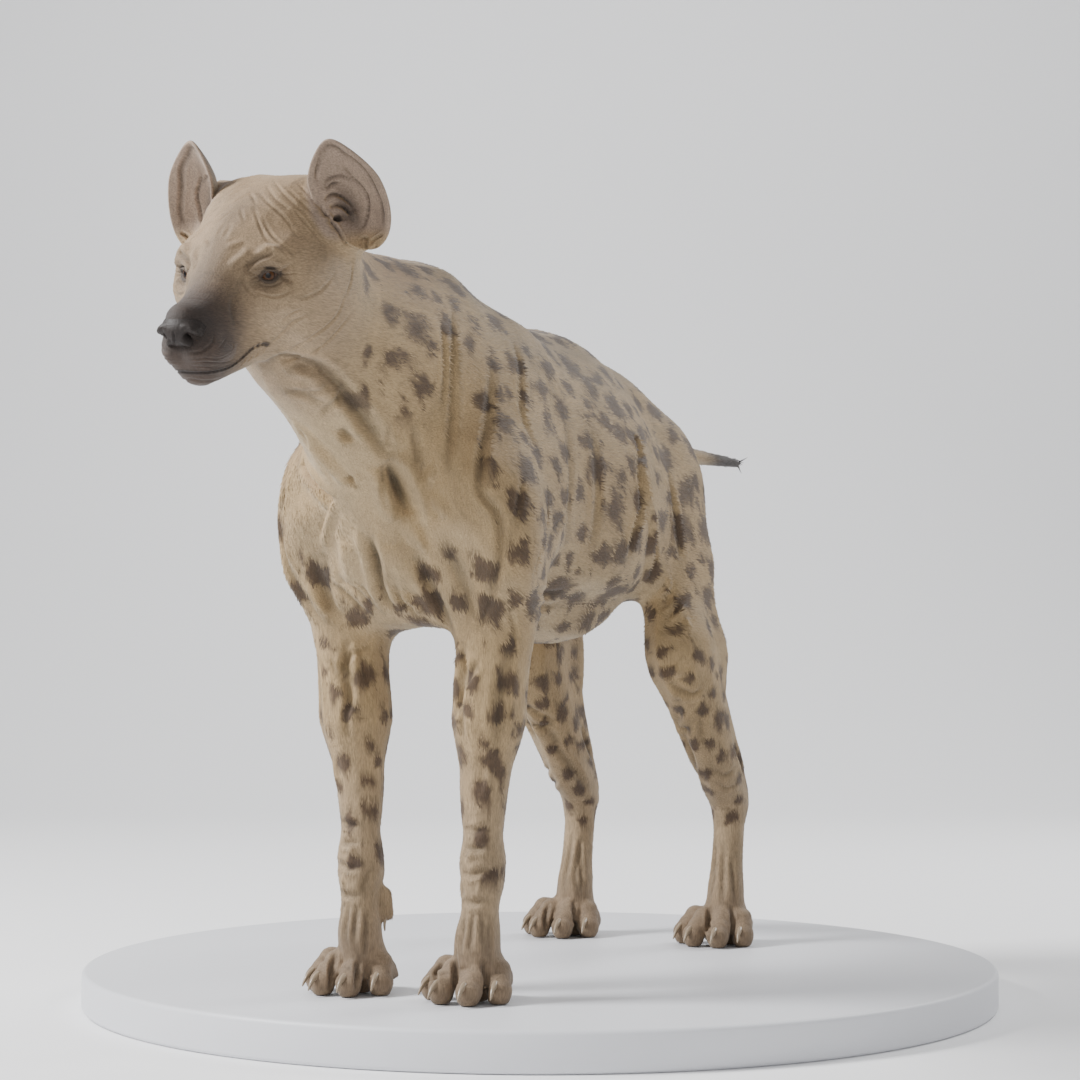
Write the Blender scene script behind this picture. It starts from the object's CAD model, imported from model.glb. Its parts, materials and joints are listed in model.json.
# %% [markdown]
# A spotted hyena, life size, standing still on a low round base. The solids of its
# body come in as a fixed frame, in metres, with +Z up and the animal looking along -Y.
# Everything made here is laid around that frame, so nothing has to be fitted.
# %% Load the frame
import json
import math
import time

import bmesh
import bpy
import numpy as np
from mathutils import Matrix, Vector
from mathutils.bvhtree import BVHTree
from mathutils.kdtree import KDTree

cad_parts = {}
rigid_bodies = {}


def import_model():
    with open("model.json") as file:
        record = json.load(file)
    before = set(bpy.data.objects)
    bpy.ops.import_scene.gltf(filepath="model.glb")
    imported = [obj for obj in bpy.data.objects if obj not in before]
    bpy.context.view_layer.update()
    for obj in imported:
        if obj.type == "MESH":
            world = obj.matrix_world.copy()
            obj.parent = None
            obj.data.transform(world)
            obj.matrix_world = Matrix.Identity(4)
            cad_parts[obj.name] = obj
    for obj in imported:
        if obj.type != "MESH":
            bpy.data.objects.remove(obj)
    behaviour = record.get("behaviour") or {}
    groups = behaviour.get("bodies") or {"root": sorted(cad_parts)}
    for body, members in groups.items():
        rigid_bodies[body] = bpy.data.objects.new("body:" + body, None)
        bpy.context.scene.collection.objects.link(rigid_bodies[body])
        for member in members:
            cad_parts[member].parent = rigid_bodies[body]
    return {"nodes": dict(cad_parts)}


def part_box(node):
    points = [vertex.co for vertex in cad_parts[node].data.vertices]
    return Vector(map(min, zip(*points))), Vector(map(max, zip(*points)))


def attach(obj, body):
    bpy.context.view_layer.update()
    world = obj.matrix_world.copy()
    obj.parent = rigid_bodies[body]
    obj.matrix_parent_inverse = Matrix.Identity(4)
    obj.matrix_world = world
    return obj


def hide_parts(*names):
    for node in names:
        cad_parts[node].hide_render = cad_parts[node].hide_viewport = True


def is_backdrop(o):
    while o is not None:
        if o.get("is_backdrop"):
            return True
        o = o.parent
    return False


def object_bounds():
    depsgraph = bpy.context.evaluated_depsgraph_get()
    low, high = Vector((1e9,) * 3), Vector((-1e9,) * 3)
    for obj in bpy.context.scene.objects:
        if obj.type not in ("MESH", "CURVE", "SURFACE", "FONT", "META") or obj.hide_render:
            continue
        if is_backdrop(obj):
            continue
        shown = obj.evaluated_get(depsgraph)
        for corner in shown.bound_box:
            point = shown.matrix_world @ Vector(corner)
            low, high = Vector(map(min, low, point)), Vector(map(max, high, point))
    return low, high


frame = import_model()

started = time.time()
cad_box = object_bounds()
print("frame:", len(frame["nodes"]), "nodes, box", cad_box)

# %% [markdown]
# Blender's operators act on whatever is selected, and the loaded solids start out
# selected. So there is one helper that leaves a single object selected and active,
# and one that copies solids as a new piece: it joins them and merges their loose
# triangles at the corners, which every later operator needs.
# %% Helpers for objects
MERGE = 1e-5  # corners nearer than this are one corner, in metres


def only(piece):
    """Make this the one selected and active object."""
    bpy.ops.object.select_all(action="DESELECT")
    piece.select_set(True)
    bpy.context.view_layer.objects.active = piece
    return piece


def copy_of(nodes, name):
    """A new piece: these solids copied, joined and merged."""
    copies = []
    for node in nodes:
        solid = frame["nodes"][node]
        twin = bpy.data.objects.new(name, solid.data.copy())
        twin.data.materials.clear()
        bpy.context.scene.collection.objects.link(twin)
        copies.append(twin)
    only(copies[0])
    for twin in copies:
        twin.select_set(True)
    if len(copies) > 1:
        bpy.ops.object.join()
    piece = bpy.context.view_layer.objects.active
    piece.name = name
    piece.data.name = name
    bpy.ops.object.mode_set(mode="EDIT")
    bpy.ops.mesh.select_all(action="SELECT")
    bpy.ops.mesh.remove_doubles(threshold=MERGE)
    bpy.ops.object.mode_set(mode="OBJECT")
    return piece


def modify(piece, kind, **settings):
    """Add one modifier and apply it."""
    only(piece)
    modifier = piece.modifiers.new(kind.title(), kind)
    for key, value in settings.items():
        setattr(modifier, key, value)
    bpy.ops.object.modifier_apply(modifier=modifier.name)
    return piece


def points_of(piece):
    """The corners of a mesh as an array of rows."""
    flat = np.empty(len(piece.data.vertices) * 3, np.float32)
    piece.data.vertices.foreach_get("co", flat)
    return flat.reshape(-1, 3).astype(float)


def normals_of(piece):
    """The corners' outward directions as an array of rows."""
    flat = np.empty(len(piece.data.vertices) * 3, np.float32)
    piece.data.vertices.foreach_get("normal", flat)
    return flat.reshape(-1, 3).astype(float)


def set_points(piece, places):
    """Move all corners of a mesh to these places."""
    piece.data.vertices.foreach_set("co", places.astype(np.float32).ravel())
    piece.data.update()


# %% [markdown]
# The picture was taken with a long lens from a little above the animal's elbow, and it
# looks up by two degrees. The size of the round base gives the distance. An 85 mm lens
# on a 36 mm sensor has the same narrow view, so the legs stay nearly parallel.
# %% Camera
CAMERA_PLACE = Vector((1.5030, -2.8996, 0.4636))
CAMERA_LOOK = Vector((-0.4599, 0.8872, 0.0365))
SENSOR = 36.0  # mm
LENS = 85.0  # mm
FRAME = 1080  # the picture's width and height in its own pixels

bpy.ops.object.camera_add(location=CAMERA_PLACE)
camera = bpy.context.object
camera.name = "camera"
camera.data.lens = LENS
camera.data.sensor_width = SENSOR
camera.rotation_euler = CAMERA_LOOK.to_track_quat("-Z", "Y").to_euler()
bpy.context.scene.camera = camera
print("camera looks up", round(math.degrees(math.asin(CAMERA_LOOK.z)), 2), "degrees")


# %% [markdown]
# Colours are easiest to choose as sRGB hex values, but shaders count in linear light.
# One function turns the one into the other, and another adds a shader node with its
# own settings and the values or links of its inputs.
# %% Helpers for materials
def colour(hex_value):
    """A linear colour, with alpha, from an sRGB hex value such as 0xa58d66."""
    parts = [(hex_value >> shift & 255) / 255 for shift in (16, 8, 0)]
    linear = [p / 12.92 if p <= 0.04045 else ((p + 0.055) / 1.055) ** 2.4 for p in parts]
    return (*linear, 1.0)


def add_node(tree, kind, inputs=None, **settings):
    """Add a shader node. An input is a plain value or another node's socket."""
    made = tree.nodes.new("ShaderNode" + kind)
    for key, value in settings.items():
        setattr(made, key, value)
    for key, value in (inputs or {}).items():
        socket = made.inputs[key]
        if isinstance(value, bpy.types.NodeSocket):
            tree.links.new(value, socket)
        else:
            socket.default_value = value
    return made


def new_material(name):
    """An empty material with its shader, ready for its pattern."""
    material = bpy.data.materials.new(name)
    material.use_nodes = True
    tree = material.node_tree
    tree.nodes.clear()
    shader = add_node(tree, "BsdfPrincipled")
    add_node(tree, "OutputMaterial", {"Surface": shader.outputs["BSDF"]})
    return material, tree, shader


# %% [markdown]
# The studio is a pale seamless floor that runs up behind the animal, as paper does over
# a roller. The far edge of a flat sheet is drawn up in small steps along a quarter
# circle and then straight up, so there is no visible corner. It is marked as stage,
# because it is no part of the object.
# %% Floor and backdrop
FLOOR_WIDTH = 16.0
FLOOR_BACK = 3.2  # where the paper starts to rise, behind the animal
SWEEP_RADIUS = 2.4
SWEEP_TOP = 7.0
SWEEP_STEPS = 24
VIEW_TURN = math.atan2(CAMERA_LOOK.x, CAMERA_LOOK.y)

floor_paper, tree, shader = new_material("seamless paper")
shader.inputs["Base Color"].default_value = colour(0xf0f0f1)
shader.inputs["Roughness"].default_value = 0.95
bpy.ops.mesh.primitive_plane_add(size=1, location=(0, 0, 0))
floor = bpy.context.object
floor.name = "floor"
flat = points_of(floor) * (FLOOR_WIDTH, 0, 0)
set_points(floor, flat + np.where(points_of(floor)[:, 1:2] > 0, (0, FLOOR_BACK, 0), (0, -FLOOR_WIDTH / 2, 0)))
bpy.ops.object.mode_set(mode="EDIT")
bpy.ops.mesh.select_mode(type="EDGE")
bpy.ops.mesh.select_all(action="DESELECT")
bpy.ops.object.mode_set(mode="OBJECT")
for edge in floor.data.edges:
    edge.select = all(floor.data.vertices[i].co.y > 0 for i in edge.vertices)
bpy.ops.object.mode_set(mode="EDIT")
for step in range(SWEEP_STEPS):
    angle = math.pi / 2 * (step + 0.5) / SWEEP_STEPS
    length = SWEEP_RADIUS * math.pi / 2 / SWEEP_STEPS
    rise = (0, length * math.cos(angle), length * math.sin(angle))
    bpy.ops.mesh.extrude_region_move(TRANSFORM_OT_translate={"value": rise})
bpy.ops.mesh.extrude_region_move(TRANSFORM_OT_translate={"value": (0, 0, SWEEP_TOP)})
bpy.ops.object.mode_set(mode="OBJECT")
floor.rotation_euler.z = -VIEW_TURN
bpy.ops.object.transform_apply(rotation=True)
bpy.ops.object.shade_smooth()
floor.data.materials.append(floor_paper)
floor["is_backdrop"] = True

# %% [markdown]
# Three large soft lights stand round the animal: a key from the front left, a fill
# from the right and one behind for the edges. A fourth hangs above the picture and
# brightens the paper behind, and a weak one stands low in front, because the base's
# rim is its brightest part. A pale world fills the shadows.
# %% Lights
CENTRE = Vector((0.03, -0.1, 0.5))
world = bpy.data.worlds.new("studio")
bpy.context.scene.world = world
world.use_nodes = True
background = world.node_tree.nodes["Background"]
background.inputs["Color"].default_value = colour(0xf1f2f4)
background.inputs["Strength"].default_value = 0.55


def add_light(name, place, size, power, aim=CENTRE):
    """A square soft light that looks at the animal or at another place."""
    bpy.ops.object.light_add(type="AREA", location=place)
    light = bpy.context.object
    light.name = name
    light.data.size = size
    light.data.energy = power
    light.rotation_euler = (Vector(aim) - Vector(place)).to_track_quat("-Z", "Y").to_euler()


add_light("key", (-2.1, -2.0, 2.7), 1.0, 270)
add_light("fill", (3.4, -1.6, 1.6), 2.4, 14)
add_light("rim", (1.6, 2.6, 2.6), 1.4, 90)
add_light("backdrop", (-0.8, 1.6, 3.3), 1.6, 70, aim=(-2.2, 4.4, 1.9))
add_light("rim of the base", (0.9, -3.0, 0.35), 1.2, 16, aim=(0.0, -0.4, 0.0))

# %% [markdown]
# The base is a turned wooden disc, sprayed matt white. A cylinder with a bevelled
# edge makes it, with enough sides for its rim to look round from close by.
# %% Display base
low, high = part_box("stand_base")
BASE_SIDES = 256
BASE_EDGE = 0.006
bpy.ops.mesh.primitive_cylinder_add(
    vertices=BASE_SIDES,
    radius=(high.x - low.x) / 2,
    depth=high.z - low.z,
    location=(low + high) / 2,
)
base = bpy.context.object
base.name = "display_base"
bpy.ops.object.transform_apply(location=True)
modify(base, "BEVEL", width=BASE_EDGE, segments=5, limit_method="ANGLE")
only(base)
bpy.ops.object.shade_smooth_by_angle(angle=math.radians(30))

white_paint, tree, shader = new_material("matt white lacquer")
where = add_node(tree, "TexCoord").outputs["Object"]
PEEL = 2 * math.pi / 0.0035  # orange peel about 3.5 mm from bump to bump
peel = add_node(tree, "TexNoise", {"Vector": where, "Scale": PEEL / 6, "Detail": 2.0})
cloud = add_node(tree, "TexNoise", {"Vector": where, "Scale": 4.0, "Detail": 4.0})
tint = add_node(
    tree, "MapRange",
    {"Value": cloud.outputs["Fac"], "To Min": 0.42, "To Max": 0.56},
)
bump = add_node(tree, "Bump", {"Height": peel.outputs["Fac"], "Strength": 0.06, "Distance": 0.0004})
shader.inputs["Base Color"].default_value = colour(0xcfd0d4)
tree.links.new(tint.outputs["Result"], shader.inputs["Roughness"])
tree.links.new(bump.outputs["Normal"], shader.inputs["Normal"])
base.data.materials.append(white_paint)
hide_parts("stand_base")
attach(base, "root")
print("base", len(base.data.polygons), "faces")

# %% [markdown]
# The head has a frame of its own: across, back along the muzzle, and up. The muzzle
# points down by 21 degrees and the left ear hangs a little lower. What lies on both
# sides of the face is placed once in this frame and then mirrored in it.
# %% The head's frame
MIDLINE = 0.03  # the animal stands this far off the base's middle
SIDES = (1, -1)  # left and right
HEAD = (
    Matrix.Translation((MIDLINE, -0.640, 0.8473))
    @ Matrix.Rotation(math.radians(21), 4, "X")
    @ Matrix.Rotation(math.radians(4.5), 4, "Y")
)
NOSE_AT = Vector((0, -0.2010, -0.0112))  # the nose pad's middle in the head's frame
NOSE_SIZE = (0.0248, 0.0206, 0.0178)  # half its width, depth and height


def mapped(matrix, places):
    """Places, as rows, taken through a matrix."""
    m = np.array(matrix)
    return places @ m[:3, :3].T + m[:3, 3]


def mirrored(places, frame_matrix):
    """Places, as rows, mirrored left to right in a frame."""
    own = mapped(frame_matrix.inverted(), places)
    own[:, 0] *= -1
    return mapped(frame_matrix, own)


# %% [markdown]
# An ear is a thin leaf hollowed to a cup. A sphere makes it: its front half is pushed
# in behind the rim, its back half follows, and the tip is drawn together. It is set a
# little thicker than gristle alone, because it carries skin and short hair.
# %% Ears
EAR_HEIGHT = 0.116
EAR_WIDTH = 0.076
EAR_CUP = 0.027
EAR_WALL = 0.0045
EAR_RIM = 0.0013  # half the rim's thickness
EAR_LEAN = 0.014
EAR_AT = (0.097, -0.017, 0.084)
EAR_YAW = 20  # degrees


def make_ear(side):
    """One ear, in its place on the head."""
    bpy.ops.mesh.primitive_uv_sphere_add(segments=144, ring_count=110, radius=1)
    ear = bpy.context.object
    x, y, z = points_of(ear).T
    r2 = np.minimum(1, x * x + z * z)
    narrow = 1 - 0.6 * np.maximum(0, z - 0.25) ** 1.5
    cup = EAR_CUP * (1 - r2) * (1 - 0.35 * z)
    wall = EAR_WALL / 2 * (1 - r2**3) * np.sign(y)
    leaf = np.stack([
        EAR_WIDTH / 2 * x * narrow - EAR_LEAN * z,
        cup + wall,
        EAR_HEIGHT / 2 * z,
    ], 1)
    set_points(ear, leaf)
    set_points(ear, leaf + EAR_RIM * normals_of(ear))
    turn = Matrix.Rotation(math.radians(EAR_YAW), 4, "Z")
    ear.data.transform(Matrix.Scale(side, 4, (1, 0, 0)) @ Matrix.Translation(EAR_AT) @ turn)
    ear.data.transform(HEAD)
    if side < 0:
        only(ear)
        bpy.ops.object.mode_set(mode="EDIT")
        bpy.ops.mesh.select_all(action="SELECT")
        bpy.ops.mesh.normals_make_consistent(inside=False)
        bpy.ops.object.mode_set(mode="OBJECT")
    return ear


ears = [make_ear(side) for side in SIDES]

# %% [markdown]
# The hide is one piece. The body's solids are copied, swollen by half a millimetre so
# that they overlap, and remade as one even net of small squares by a voxel remesh.
# %% Hide: one net over the whole body
APART = ("eye", "nose", "claw", "stand")
flesh = [n for n in frame["nodes"] if not any(word in n for word in APART)]
whole = [n for n in flesh if not n.startswith("ear_")]
SWELL = 0.0010
VOXEL = 0.0028

GROUND = 0.0473  # the soles' height above the floor
PAW_TOP = GROUND + 0.058

hide = copy_of(whole, "hide")
only(hide)
bpy.ops.object.mode_set(mode="EDIT")
bpy.ops.mesh.select_all(action="SELECT")
bpy.ops.mesh.normals_make_consistent(inside=False)
bpy.ops.object.mode_set(mode="OBJECT")
swell = np.where(points_of(hide)[:, 2:] < PAW_TOP, -SWELL, SWELL)
set_points(hide, points_of(hide) + swell * normals_of(hide))

# %% [markdown]
# The toes get rounder bones before the remesh: four balls in a row for each toe, from its
# root over the knuckle to the tip. The two middle toes stand ahead of the other two, and
# all the toes lean a little to the animal's right. The nose's solid joins too, set back a
# little, so that the hide runs on behind the bare pad.
# %% Hide: round toes and a seat for the nose
SEAT_BACK = 0.0035
PAWS = ((0.078, -0.408), (0.115, 0.206))  # fore and hind: from the midline, toes' front
TOES = ((-0.043, 0.028), (-0.017, 0.0), (0.018, 0.0), (0.042, 0.028))  # across, set back
TOE_SWAY = 0.013
BALLS = (  # share of the way from root to tip, height, half sizes
    (0.30, 0.036, (0.0135, 0.0170, 0.0135)),
    (0.62, 0.0365, (0.0150, 0.0160, 0.0150)),
    (0.85, 0.026, (0.0140, 0.0130, 0.0140)),
    (1.00, 0.0155, (0.0150, 0.0165, 0.0150)),
)
DEW_ROOT = (0.057, -0.343, 0.091)
DEW_SIZES = (0.0078, 0.0078, 0.0095)


def ball_at(place, sizes):
    """An egg-shaped ball at a place."""
    bpy.ops.mesh.primitive_uv_sphere_add(segments=24, ring_count=16, radius=1)
    ball = bpy.context.object
    ball.data.transform(Matrix.Translation(place) @ Matrix.Diagonal((*sizes, 1)))
    return ball


toe_balls = []
for side in SIDES:
    for across, front in PAWS:
        for offset, setback in TOES:
            sway = -side * TOE_SWAY
            root = Vector((across + sway / 2 + 0.45 * offset, front + 0.072, 0))
            tip = Vector((across + sway + offset, front + setback + 0.016, 0))
            for share, height, sizes in BALLS:
                middle = root.lerp(tip, share)
                place = Vector((MIDLINE + side * middle.x, middle.y, GROUND + height))
                toe_balls.append(ball_at(place, sizes))
    dew = (MIDLINE + side * DEW_ROOT[0], DEW_ROOT[1], GROUND + DEW_ROOT[2])
    toe_balls.append(ball_at(dew, DEW_SIZES))
seat = copy_of(["nose"], "seat")
seat.data.transform(Matrix.Translation(HEAD.to_3x3() @ Vector((0, SEAT_BACK, 0))))
only(hide)
for bone in (*toe_balls, seat):
    bone.select_set(True)
bpy.ops.object.join()
modify(hide, "REMESH", mode="VOXEL", voxel_size=VOXEL)
print("hide", len(hide.data.polygons), "squares at", round(time.time() - started, 1), "s")

# %% [markdown]
# A remesh can leave tiny closed bubbles inside. The largest surface is the animal's, so
# all that isn't linked to its lowest corner is selected and deleted.
# %% Hide: no loose bubbles
bpy.ops.object.mode_set(mode="EDIT")
bpy.ops.mesh.select_all(action="DESELECT")
bpy.ops.object.mode_set(mode="OBJECT")
lowest = int(points_of(hide)[:, 2].argmin())
hide.data.vertices[lowest].select = True
bpy.ops.object.mode_set(mode="EDIT")
bpy.ops.mesh.select_mode(type="VERT")
bpy.ops.mesh.select_linked()
bpy.ops.mesh.select_all(action="INVERT")
bpy.ops.mesh.delete(type="VERT")
bpy.ops.object.mode_set(mode="OBJECT")

# %% [markdown]
# Smoothing takes the facets away: much on the trunk, little on the face and the feet.
# A vertex group gives each corner its own share of the Smooth modifier.
# %% Hide: smoothing
EVEN = "even"  # the corners' shares of the smoothing
ANKLE = GROUND + 0.064  # where the paws join the legs
ANKLE_SWELL = 0.003  # what smoothing takes from the slender legs there


def ramp(values, start, end):
    """0 before start, 1 after end, and a smooth rise between them."""
    t = np.clip((values - start) / (end - start), 0, 1)
    return t * t * (3 - 2 * t)


def smooth(piece, weights, factor, times):
    """Even out a mesh, each corner by its own weight."""
    group = piece.vertex_groups.new(name=EVEN)
    steps = 20
    shares = np.round(weights * steps).astype(int)
    for share in range(1, steps + 1):
        chosen = np.nonzero(shares == share)[0].tolist()
        if chosen:
            group.add(chosen, share / steps, "REPLACE")
    modify(piece, "SMOOTH", factor=factor, iterations=times, vertex_group=EVEN)
    piece.vertex_groups.remove(piece.vertex_groups[EVEN])


def parts_of(places):
    """How far each place belongs to the head, the legs, the feet and the tail."""
    x, y, z = places.T
    head = ramp(-y, 0.56, 0.64) * ramp(z, 0.62, 0.72)
    leg = ramp(-z, -0.50, -0.40)
    foot = ramp(-z, -0.16, -0.12)
    tail = ramp(y, 0.25, 0.28) * ramp(z, 0.55, 0.6)
    return head, leg, foot, tail


head, leg, foot, tail = parts_of(points_of(hide))
weights = 1 - 0.93 * head - 0.75 * leg * (1 - head) - 0.21 * foot - 0.8 * tail
smooth(hide, np.clip(weights, 0.04, 1), 0.9, 60)
ankle = np.exp(-(((points_of(hide)[:, 2] - ANKLE) / 0.009) ** 2))
smooth(hide, ankle, 0.9, 12)
ankle = np.exp(-(((points_of(hide)[:, 2] - ANKLE - 0.005) / 0.022) ** 2))
set_points(hide, points_of(hide) + (ANKLE_SWELL * ankle)[:, None] * normals_of(hide))
print("smoothed at", round(time.time() - started, 1), "s")

# %% [markdown]
# Smoothing lifts the soles off the base. They are drawn down again and made flat where
# they stand.
# %% Hide: the soles
SOLE_FREE = 0.0034  # how far smoothing lifted them
SOLE_TOP = 0.014  # above this nothing moves
places = points_of(hide)
height = places[:, 2] - GROUND
lowered = (height - SOLE_FREE) * SOLE_TOP / (SOLE_TOP - SOLE_FREE)
places[:, 2] = GROUND + np.where(height < SOLE_TOP, np.maximum(lowered, 0.0008), height)
set_points(hide, places)

# %% [markdown]
# The ears join the head by a Boolean union. The sharp line where they meet is then
# smoothed: only the corners that lie close to both of the joined surfaces move.
# %% Hide: the ears join it
ROOT_NEAR = 0.003
ROOT_FAR = 0.012
depsgraph = bpy.context.evaluated_depsgraph_get()
before = BVHTree.FromObject(hide, depsgraph)
ear_skins = [BVHTree.FromObject(ear, depsgraph) for ear in ears]
for ear in ears:
    modify(hide, "BOOLEAN", operation="UNION", solver="MANIFOLD", object=ear)
    bpy.data.objects.remove(ear)
places = points_of(hide)
own = mapped(HEAD.inverted(), places)
candidates = np.nonzero((np.abs(own[:, 0]) > 0.03) & (own[:, 2] > -0.01) & (np.abs(own[:, 1]) < 0.09))[0]
weights = np.zeros(len(places))
for i in candidates:
    place = Vector(places[i])
    skin = ear_skins[0 if own[i, 0] > 0 else 1]
    gap = max(skin.find_nearest(place)[3], before.find_nearest(place)[3])
    weights[i] = 1 - ramp(gap, ROOT_NEAR, ROOT_FAR)
smooth(hide, weights, 0.7, 12)
print("ears joined:", len(hide.data.polygons), "faces at", round(time.time() - started, 1), "s")

# %% [markdown]
# Wrinkles on the face are only a millimetre or two across, so the net is made finer
# there: the head once, and the muzzle and the rims of the eyes once more.
# %% Hide: finer where it matters
EYE_AT = Vector((0.044, -0.102, 0.022))
EYE_OUT = math.radians(33)  # each eye looks outwards by this
EYE_RADIUS = 0.014
eye_centres = [HEAD @ Vector((side * EYE_AT.x, EYE_AT.y, EYE_AT.z)) for side in SIDES]


def refine(piece, chosen):
    """Split the chosen faces in four."""
    only(piece)
    bpy.ops.object.mode_set(mode="EDIT")
    bpy.ops.mesh.select_mode(type="FACE")
    bpy.ops.mesh.select_all(action="DESELECT")
    bpy.ops.object.mode_set(mode="OBJECT")
    piece.data.polygons.foreach_set("select", chosen)
    bpy.ops.object.mode_set(mode="EDIT")
    bpy.ops.mesh.subdivide(number_cuts=1)
    bpy.ops.object.mode_set(mode="OBJECT")


def centres_of(piece):
    """The middles of a mesh's faces as an array of rows."""
    flat = np.empty(len(piece.data.polygons) * 3, np.float32)
    piece.data.polygons.foreach_get("center", flat)
    return flat.reshape(-1, 3).astype(float)


FINE_AREA = 4e-6  # faces smaller than this, in square metres, stay whole


def areas_of(piece):
    """The sizes of a mesh's faces in square metres."""
    areas = np.empty(len(piece.data.polygons), np.float32)
    piece.data.polygons.foreach_get("area", areas)
    return areas


centres = centres_of(hide)
refine(hide, (centres[:, 1] < -0.585) & (centres[:, 2] > 0.70) & (areas_of(hide) > FINE_AREA))
centres = centres_of(hide)
own = mapped(HEAD.inverted(), centres)
refine(hide, (own[:, 1] < -0.085) & (centres[:, 2] > 0.70))
refine(hide, centres_of(hide)[:, 2] < PAW_TOP)
head, leg, foot, tail = parts_of(points_of(hide))
smooth(hide, np.maximum(head, foot), 0.5, 3)
print("finer:", len(hide.data.polygons), "faces at", round(time.time() - started, 1), "s")

# %% [markdown]
# Lids lie on the eyeball like a second, larger ball with an almond-shaped opening. Near
# each eye the hide is drawn to that ball, and inside the opening it is tucked under it.
# %% Hide: eyelids
LID = 0.0026  # a lid's thickness
OPENING = 0.0145  # half the opening's length


def almond(across):
    """The opening's lower and upper edge at a place across the eye, in metres."""
    t = np.clip(across / OPENING, -1, 1)
    tilt = 0.0008 * t
    return tilt - 0.0060 * (1 - t * t), tilt + 0.0070 * (1 - t * t)


def shape_lids(places):
    """The places with the lids drawn to the eyeballs."""
    moved = places.copy()
    for side in SIDES:
        own = mapped(HEAD.inverted(), places) * (side, 1, 1) - np.array(EYE_AT)
        outwards = np.array([math.sin(EYE_OUT), -math.cos(EYE_OUT), 0])
        across = own @ np.array([math.cos(EYE_OUT), math.sin(EYE_OUT), 0])
        up = own[:, 2]
        lower, upper = almond(across)
        edge = np.maximum(np.maximum(up - upper, lower - up), np.abs(across) - OPENING)
        distance = np.linalg.norm(own, axis=1)
        lid = EYE_RADIUS + LID * ramp(edge, -0.0004, 0.0012) - 0.0015 * (1 - ramp(edge, -0.0012, 0))
        share = (1 - ramp(edge, 0.004, 0.010)) * (own @ outwards > 0.002) * (distance < 0.03)
        factor = 1 + share * (lid / np.maximum(distance, 1e-6) - 1)
        back = (own * factor[:, None] + np.array(EYE_AT)) * (side, 1, 1)
        chosen = share > 0
        moved[chosen] = mapped(HEAD, back)[chosen]
    return moved


set_points(hide, shape_lids(points_of(hide)))

# %% [markdown]
# The solids reach to the tips of the coat, so the hide lies inside them by the coat's
# depth: three millimetres on the trunk, less on the legs, almost none on the face. The
# lids stay where they are, close on the eyeballs.
# %% Hide: inside by the coat's depth
def near_eyes(places, start, end):
    """1 close to an eye's middle, 0 far from it."""
    gaps = [np.linalg.norm(places - np.array(e), axis=1) for e in eye_centres]
    return 1 - ramp(np.min(gaps, 0), start, end)


def ear_leaf(places):
    """Each place in the nearer ear's own leaf: across, behind it and up."""
    own = mapped(HEAD.inverted(), places)
    own[:, 0] = np.abs(own[:, 0])
    turn = Matrix.Rotation(math.radians(EAR_YAW), 4, "Z")
    leaf = mapped((Matrix.Translation(EAR_AT) @ turn).inverted(), own)
    up = leaf[:, 2] / (EAR_HEIGHT / 2)
    return (leaf[:, 0] + EAR_LEAN * up) / (EAR_WIDTH / 2), leaf[:, 1] - 0.012, up


def round_ears(places):
    """1 on an ear and at its root, 0 elsewhere."""
    across, behind, up = ear_leaf(places)
    return (1 - ramp(np.hypot(across, up), 1.05, 1.25)) * (1 - ramp(np.abs(behind), 0.026, 0.034))


def in_ears(places):
    """1 on an ear above its root, 0 elsewhere."""
    return round_ears(places) * ramp(ear_leaf(places)[2], -0.9, -0.6)


places = points_of(hide)
head, leg, foot, tail = parts_of(places)
depth = 0.003 * (1 - head) * (1 - 0.5 * leg) + 0.0006 * head
stays = np.maximum(near_eyes(places, 0.018, 0.028), round_ears(places))
inset = (SWELL + depth) * (1 - stays) * (1 - ramp(-places[:, 2], -PAW_TOP, -GROUND - 0.02))
set_points(hide, places - inset[:, None] * normals_of(hide))

# %% [markdown]
# Folds are carved as a sculptor would: each is a line drawn on the picture, laid on the
# hide from the camera, and pressed in along it with a low swelling on both sides. A
# negative depth raises a ridge. Most are then mirrored to the side that isn't seen.
# %% Tools for carving
REACH = 3.0  # a stroke is felt this many half-widths away
STEP = 4.0  # between points of a stroke, in the picture's pixels


def curve_through(points):
    """Close points along a smooth curve through a few."""
    p = np.array(points, float)
    p = np.vstack([2 * p[0] - p[1], p, 2 * p[-1] - p[-2]])
    rows = []
    for a, b, c, d in zip(p, p[1:], p[2:], p[3:]):
        count = max(2, int(np.linalg.norm(c - b) / STEP))
        t = np.arange(count)[:, None] / count
        rows.append(0.5 * (2 * b + (c - a) * t + (2 * a - 5 * b + 4 * c - d) * t**2
                           + (3 * b - a - 3 * c + d) * t**3))
    return np.vstack([*rows, p[-2:-1]])


def laid(surface, pixels):
    """Where a line drawn on the picture lies on a surface."""
    turn = camera.matrix_world.to_3x3()
    focal = LENS / SENSOR * FRAME
    found = []
    for u, v in curve_through(pixels):
        ray = turn @ Vector(((u - FRAME / 2) / focal, (FRAME / 2 - v) / focal, -1))
        hit = surface.ray_cast(CAMERA_PLACE, ray.normalized())[0]
        if hit:
            found.append(hit)
    return np.array(found).reshape(-1, 3)


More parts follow.
